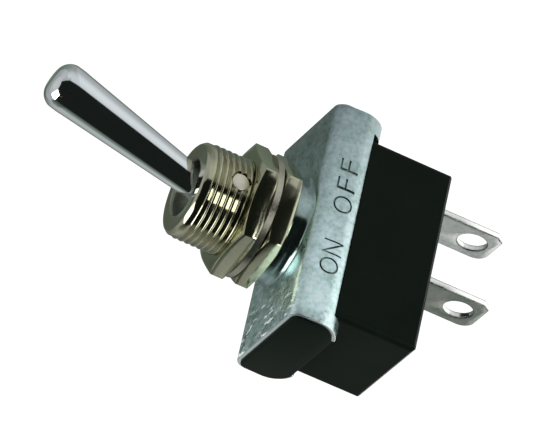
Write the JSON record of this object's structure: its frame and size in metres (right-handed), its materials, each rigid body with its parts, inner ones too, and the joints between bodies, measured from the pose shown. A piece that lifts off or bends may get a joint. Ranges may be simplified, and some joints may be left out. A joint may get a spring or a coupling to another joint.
{
  "type": "panel toggle switch",
  "caption": "Bat-handle panel toggle switch with a threaded bushing, hexagon nuts, a folded steel frame, a black phenolic case and flat solder lugs",
  "frame": {"origin": "where the bushing's axis meets the front face of the frame's plate", "axes": "+Z along the bushing's axis towards the lever; +X along the frame towards its OFF end, the side the lever leans to at rest; the words are on the -Y flange"},
  "size_m": [0.0296, 0.0162, 0.0583],
  "materials": {
    "zinc_steel": "zinc plated, dull",
    "nickel_brass": "nickel plated, satin",
    "plain_steel": "bare, satin",
    "chrome_lever": "polished",
    "white_plastic": "moulded, matt",
    "fibre_card": "plain",
    "black_phenolic": "moulded, semi-gloss",
    "copper_alloy": "bright",
    "contact_metal": "silver plated",
    "tinned_brass": "tinned, satin"
  },
  "bodies": {
    "switch_body": {"frame": "zinc_steel", "bushing": "nickel_brass", "rear_nut": "nickel_brass", "lock_washer": "zinc_steel", "front_nut": "nickel_brass", "pivot_pin": "plain_steel", "insulator_card": "fibre_card", "case": "black_phenolic", "fixed_contact": "contact_metal", "rocker_cradle": "copper_alloy", "common_rivet": "copper_alloy", "common_terminal": "tinned_brass", "end_terminal": "tinned_brass"},
    "lever": {"lever": "chrome_lever", "lever_spring": "plain_steel"},
    "plunger": {"plunger": "white_plastic"},
    "rocker": {"rocker": "copper_alloy", "moving_contact": "contact_metal"}
  },
  "joints": [
    {"name": "lever_pivot", "type": "hinge", "parent": "switch_body", "child": "lever", "pos_m": [0, 0, 0.0089], "axis": [0, -1, 0], "range_deg": [0, 31]},
    {"name": "plunger_slide", "type": "slide", "parent": "lever", "child": "plunger", "axis": [0.2672, 0, 0.9636], "range_m": [0, 0.0003], "stiffness_N_per_m": 300, "springref_m": -0.001},
    {"name": "rocker_pivot", "type": "hinge", "parent": "switch_body", "child": "rocker", "pos_m": [0, 0, -0.0073], "axis": [0, 1, 0], "range_deg": [0, 16.1]}
  ],
  "couplings": [
    {"joint": "rocker_pivot", "follows": "lever_pivot", "ratio": 0.51613}
  ]
}
